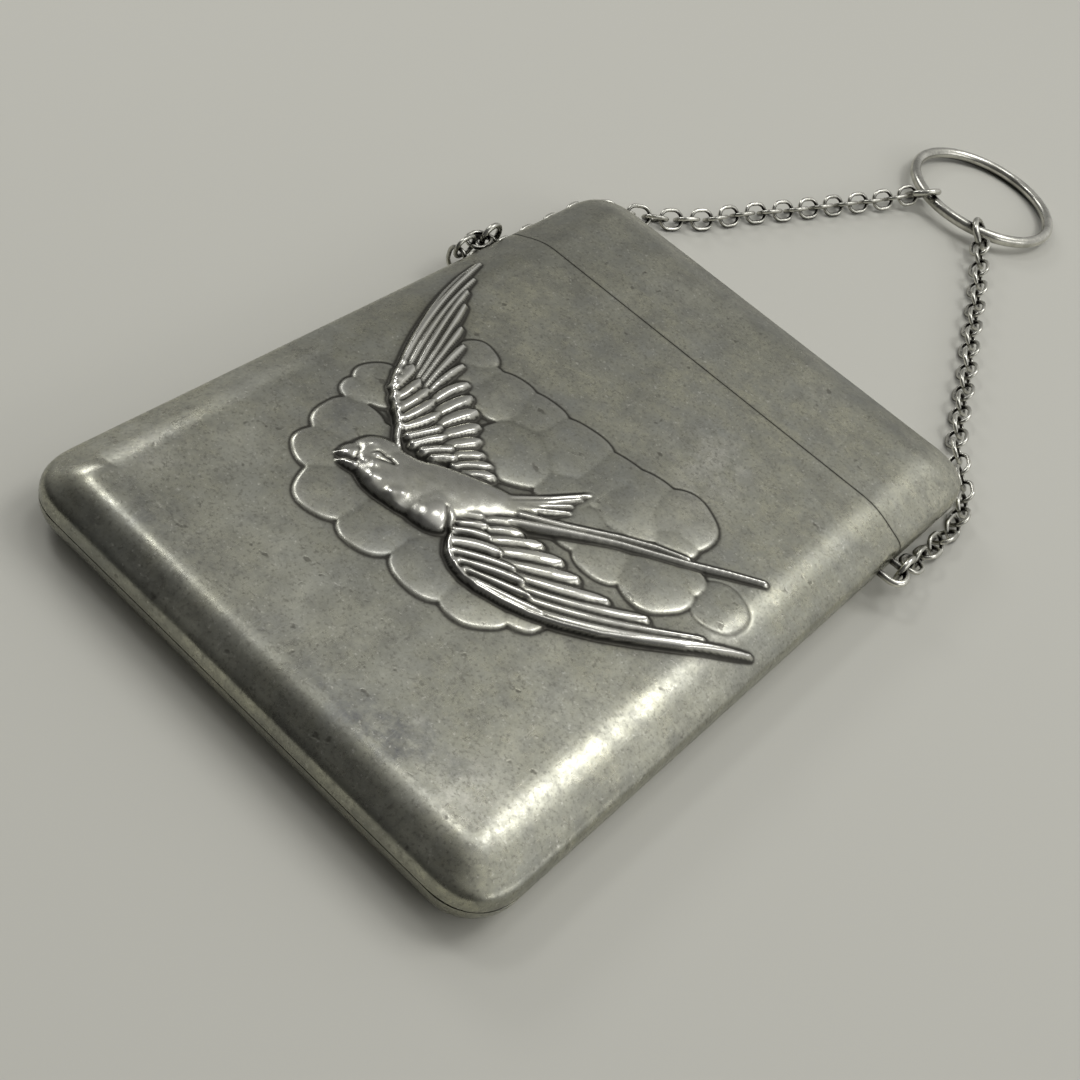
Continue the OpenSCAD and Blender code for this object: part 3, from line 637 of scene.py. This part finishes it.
def case_silver():
    """Old silver sheet: cloudy tarnish in layers, fine grain, scratches, and the marks of the relief, which
    carry painted shade and painted highlights besides tarnish and wear.
    """
    n = Nodes("case_silver")
    cloudy = n.band(n.noise(34, 5, 0.6, seed=3.1), 0.38, 0.62)
    patch = n.band(n.noise(110, 6, 0.7, seed=1.7), 0.42, 0.64)
    grain = n.band(n.noise(800, 5, 0.75, seed=2.4), 0.36, 0.64)
    mottle = n.band(n.noise(260, 5, 0.7, seed=9.3), 0.46, 0.64)
    speck = n.band(n.noise(2600, 3, 0.6), 0.52, 0.68)
    spark = n.band(n.noise(1900, 4, 0.7, seed=4.4), 0.6, 0.72)
    pits = n.band(n.noise(520, 2, 0.5, seed=5.2), 0.7, 0.76)
    polish = n.band(n.noise(60, 4, 0.6, stretch=(1, 0.4, 1), turn=0.5, seed=8), 0.42, 0.66)
    blotch = n.band(n.noise(230, 6, 0.75, seed=6.6), 0.4, 0.6)
    smear = n.band(n.noise(420, 6, 0.75, seed=7.7), 0.4, 0.62)
    scratches = 0.0
    for turn, seed in SCRATCHES:
        line = n.band(n.noise(90, 2, 0.4, stretch=(60, 2.4, 1), turn=turn, seed=seed), 0.66, 0.76)
        scratches = n.math("MAXIMUM", scratches, line)
    dark, worn, bird = n.mark("dark"), n.mark("worn"), n.mark("bird")
    stained = n.math("MULTIPLY", n.mark("stain"), blotch)
    rubbed = n.math("MULTIPLY", n.mark("rubbed"), smear)
    base = n.mix(cloudy, (0.35, 0.35, 0.285, 1), (0.475, 0.465, 0.355, 1))
    # Each layer lies over the ones before it: where it is, how strong, and its colour
    for where, strength, colour in ((patch, 0.7, (0.245, 0.255, 0.25, 1)),
                                    (polish, 0.6, (0.58, 0.57, 0.46, 1)),
                                    (mottle, 0.6, (0.24, 0.24, 0.215, 1)),
                                    (stained, 0.9, (0.12, 0.125, 0.14, 1)),
                                    # Rubbing wear, with a painted highlight on the corners and the right edge
                                    (rubbed, 0.7, (0.68, 0.67, 0.6, 1)),
                                    (grain, 0.6, (0.24, 0.24, 0.205, 1)),
                                    (speck, 0.6, (0.17, 0.165, 0.14, 1)),
                                    (spark, 0.55, (0.72, 0.71, 0.63, 1)),
                                    (bird, 0.32, (0.6, 0.59, 0.53, 1)),
                                    (scratches, 0.07, (0.66, 0.65, 0.6, 1)),
                                    # Edge wear, with painted glints on it
                                    (worn, 0.6, (0.8, 0.79, 0.74, 1)),
                                    (pits, 0.6, (0.1, 0.095, 0.08, 1)),
                                    # Tarnish in the hollows, with painted shade beside steps, in the lid line
                                    # and on the rim
                                    (dark, 0.92, (0.03, 0.028, 0.024, 1))):
        base = n.mix(n.math("MULTIPLY", where, strength), base, colour)
    rough = n.band(n.math("ADD", patch, grain), 0, 1.6, 0.23, 0.4)
    rough = n.plus(rough, (worn, -0.1), (dark, 0.2), (bird, -0.08))
    fine = n.math("MULTIPLY", n.noise(900, 5, 0.65, seed=2), 0.5)
    height = n.plus(fine, (scratches, -0.1), (pits, -0.8),
                    (n.noise(75, 2, 0.5, seed=6), 9.0), (n.noise(240, 2, 0.5, seed=3), 1.6))
    return n.finish(base, rough, height)


def chain_silver():
    """Brighter silver wire, with painted shade where the links lie close together."""
    n = Nodes("chain_silver")
    hollow = n.add("ShaderNodeAmbientOcclusion", samples=6)
    hollow.inputs["Distance"].default_value = 0.0011
    open_air = n.math("POWER", n.band(hollow.outputs["AO"], 0.58, 1.0), 1.7)
    cloudy = n.band(n.noise(260, 4, 0.6, seed=2.2), 0.38, 0.66)
    speck = n.band(n.noise(2200, 3, 0.6), 0.55, 0.7)
    base = n.mix(cloudy, (0.42, 0.415, 0.37, 1), (0.72, 0.71, 0.64, 1))
    base = n.mix(n.math("MULTIPLY", speck, 0.35), base, (0.22, 0.21, 0.18, 1))
    # Painted shade: near black where the links lie close together and little open air is around them
    base = n.mix(open_air, (0.02, 0.018, 0.015, 1), base)
    rough = n.band(cloudy, 0, 1, 0.27, 0.2)
    height = n.plus(n.noise(1300, 3, 0.6), (n.noise(300, 2, 0.5, seed=4), 2.0))
    return n.finish(base, rough, height)


SLOTS = {"case_silver": case_silver(), "chain_silver": chain_silver()}
slot_of = {s["node"]: s["material_slot"] for s in frame["record"]["subparts"]}
for node, obj in frame["nodes"].items():
    if not obj.material_slots:
        obj.data.materials.append(None)
    for entry in obj.material_slots:
        entry.material = SLOTS[slot_of[node]]


def add_piece(obj, body, node):
    """Gives a mesh its finish, lets it ride on a body, and puts it in place of a CAD node."""
    obj.data.materials.append(SLOTS[slot_of[node]])
    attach(obj, body)
    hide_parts(node)


# Distance between the points of the relief, in millimetres
STEP = 0.14
body_front = front_shell("body_front_relief", LID_LINE - LID_GAP, -1, True, STEP, swallow_relief)
add_piece(body_front, "case", "body_front_shell")
lid_front = front_shell("lid_front_face", LID_LINE + LID_GAP, 1, False, STEP)
add_piece(lid_front, "lid", "lid_front_shell")


def half_section(inset, upper):
    """Right-hand half of the case's section, from the middle height to the flat."""
    if upper:
        p = offset_line(ROLL_LINE[::4], inset)
        return np.stack([HALF_WIDTH - p[:, 0], p[:, 1]], 1)
    t = np.linspace(0, math.pi / 2, 13)
    r = MIDDLE - inset
    return np.stack([HALF_WIDTH - MIDDLE + r * np.cos(t), MIDDLE - r * np.sin(t)], 1)


def strip_mesh(name, sections, tarnish):
    """Skins a list of equal rings of points, each with its share of tarnish and painted shade, and closes
    both ends.
    """
    k = len(sections[0])
    faces = []
    for i in range(len(sections) - 1):
        for j in range(k):
            a, b = i * k + j, i * k + (j + 1) % k
            faces.append((a, b, b + k, a + k))
    faces += [tuple(range(k))[::-1], tuple((len(sections) - 1) * k + j for j in range(k))]
    obj = new_mesh(name, np.concatenate(sections) * MM, faces)
    add_layer(obj, "dark", np.repeat(tarnish, k))
    return obj


def band_ring(inset, upper):
    """One cross-section of the rim's sheet round one face of the case, inside the given inset."""
    def arch(p):
        left = np.stack([-p[:, 0], p[:, 1]], 1)
        return np.concatenate([left, p[::-1]])
    outer, inner = half_section(inset, upper), half_section(inset + RIM_SHEET, upper)
    return np.concatenate([arch(outer), arch(inner)[::-1]])


def across(ring, y):
    """The ring set upright across the case."""
    return np.stack([ring[:, 0], 0 * ring[:, 0] + y, ring[:, 1]], 1)


def rim_front():
    """The front half of the rim, with its lip turned about the hinge so that the lid swings clear."""
    flat, lip = band_ring(SHEET, True), band_ring(SHEET + LIP_GAP, True)
    sections = [across(flat, LID_LINE - RIM_DEPTH + v) for v in (0, RIM_DEPTH - 0.5, RIM_DEPTH - 0.1)]
    radius = lip[:, 1] - HINGE_Z
    for angle in np.linspace(0, LIP / (THICKNESS - SHEET - LIP_TOP_GAP - HINGE_Z), 7):
        turned = [lip[:, 0], LID_LINE + radius * math.sin(angle), HINGE_Z + radius * math.cos(angle)]
        sections.append(np.stack(turned, 1))
    # Painted shade: black in the lid line, between the body and the lip
    return strip_mesh("mouth_rim_front", sections, [RIM_TARNISH] * 2 + [1] * 2 + [RIM_TARNISH] * 6)


def rim_back():
    """The back half of the rim, which stops short of the hinge."""
    flat = band_ring(SHEET, False)
    ends = (LID_LINE - RIM_DEPTH, LID_LINE - HINGE_ROOM)
    return strip_mesh("mouth_rim_back", [across(flat, y) for y in ends], [RIM_TARNISH, 0.6])


for piece in (rim_front(), rim_back()):
    add_piece(piece, "case", "mouth_rim")

# Floor, in metres
FLOOR_HALF = 1.5
FLOOR_Z = -0.00003
corners = [(sx * FLOOR_HALF, sy * FLOOR_HALF, FLOOR_Z) for sx, sy in ((-1, -1), (1, -1), (1, 1), (-1, 1))]
floor = new_mesh("floor", corners, [(0, 1, 2, 3)])
floor.data.materials.append(Nodes("pale_floor").finish((0.585, 0.578, 0.52, 1), 0.7, metallic=0.0))

# Room: it is brighter to the right, behind and above
world = bpy.data.worlds.new("studio")
bpy.context.scene.world = world
world.use_nodes = True
tree = world.node_tree
view = tree.nodes.new("ShaderNodeSeparateXYZ")
tree.links.new(tree.nodes.new("ShaderNodeTexCoord").outputs["Generated"], view.inputs[0])


def sky(axis, ends, values):
    """Brightness of the room along one axis."""
    node = tree.nodes.new("ShaderNodeMapRange")
    node.interpolation_type = "SMOOTHSTEP"
    tree.links.new(view.outputs[axis], node.inputs["Value"])
    for key, value in zip(("From Min", "From Max", "To Min", "To Max"), ends + values):
        node.inputs[key].default_value = value
    return node.outputs[0]


def product(a, b):
    node = tree.nodes.new("ShaderNodeMath")
    node.operation = "MULTIPLY"
    tree.links.new(a, node.inputs[0])
    tree.links.new(b, node.inputs[1])
    return node.outputs[0]


room = product(sky("X", (-0.7, 0.3), (0.36, 0.78)), sky("Y", (-0.6, 0.15), (0.16, 1.0)))
room = product(room, sky("Z", (0.5, 0.68), (0.82, 1.02)))
background = tree.nodes["Background"]
background.inputs[0].default_value = (1, 0.995, 0.98, 1)
tree.links.new(room, background.inputs[1])

# Lamps as place, size and radiance, in metres. They all point at the middle of the case.
LAMPS = {"key": ((0.15, 0.31, 0.52), (0.2, 0.26), 4.4),
         "top": ((-0.06, 0.16, 0.58), (0.11, 0.12), 5.0),
         "front": ((-0.34, -0.01, 0.49), (0.09, 0.12), 9.0),
         "side": ((0.6, 0.1, 0.3), (0.14, 0.5), 1.8),
         "left": ((-0.49, 0.135, 0.3), (0.12, 0.21), 5.2)}


def axes_matrix(x, y, z, place):
    return Matrix([[x[i], y[i], z[i], place[i]] for i in range(3)] + [[0, 0, 0, 1]])


for name, (place, size, radiance) in LAMPS.items():
    light = bpy.data.lights.new(name, "AREA")
    light.shape = "RECTANGLE"
    light.size, light.size_y = size
    light.energy = radiance * math.pi * size[0] * size[1]
    z = np.array(place) / np.linalg.norm(place)
    x = np.cross((0, 1, 0.001), z)
    x /= np.linalg.norm(x)
    add_object(name, light).matrix_world = axes_matrix(x, np.cross(z, x), z, place)

# Camera at the photograph's place: its right, its down and its view direction, and its place in metres
PHOTO_SIZE = 1080
SENSOR = 36.0
FOCAL_PIXELS = 1592.82
SHIFT_PIXELS = -2
RIGHT = np.array([0.7227, 0.63164, 0.2806])
DOWN = np.array([0.62943, -0.43376, -0.64473])
AHEAD = np.array([-0.28552, 0.64256, -0.71105])
CAMERA_PLACE = (0.05671, -0.12437, 0.13381)
cam = bpy.data.cameras.new("camera")
cam.sensor_width = SENSOR
cam.lens = FOCAL_PIXELS / PHOTO_SIZE * SENSOR
cam.shift_y = SHIFT_PIXELS / PHOTO_SIZE
cam.clip_start = 0.01
camera = add_object("camera", cam)
camera.matrix_world = axes_matrix(RIGHT, -DOWN, -AHEAD, CAMERA_PLACE)
bpy.context.scene.camera = camera
bpy.context.scene.view_settings.view_transform = "Standard"
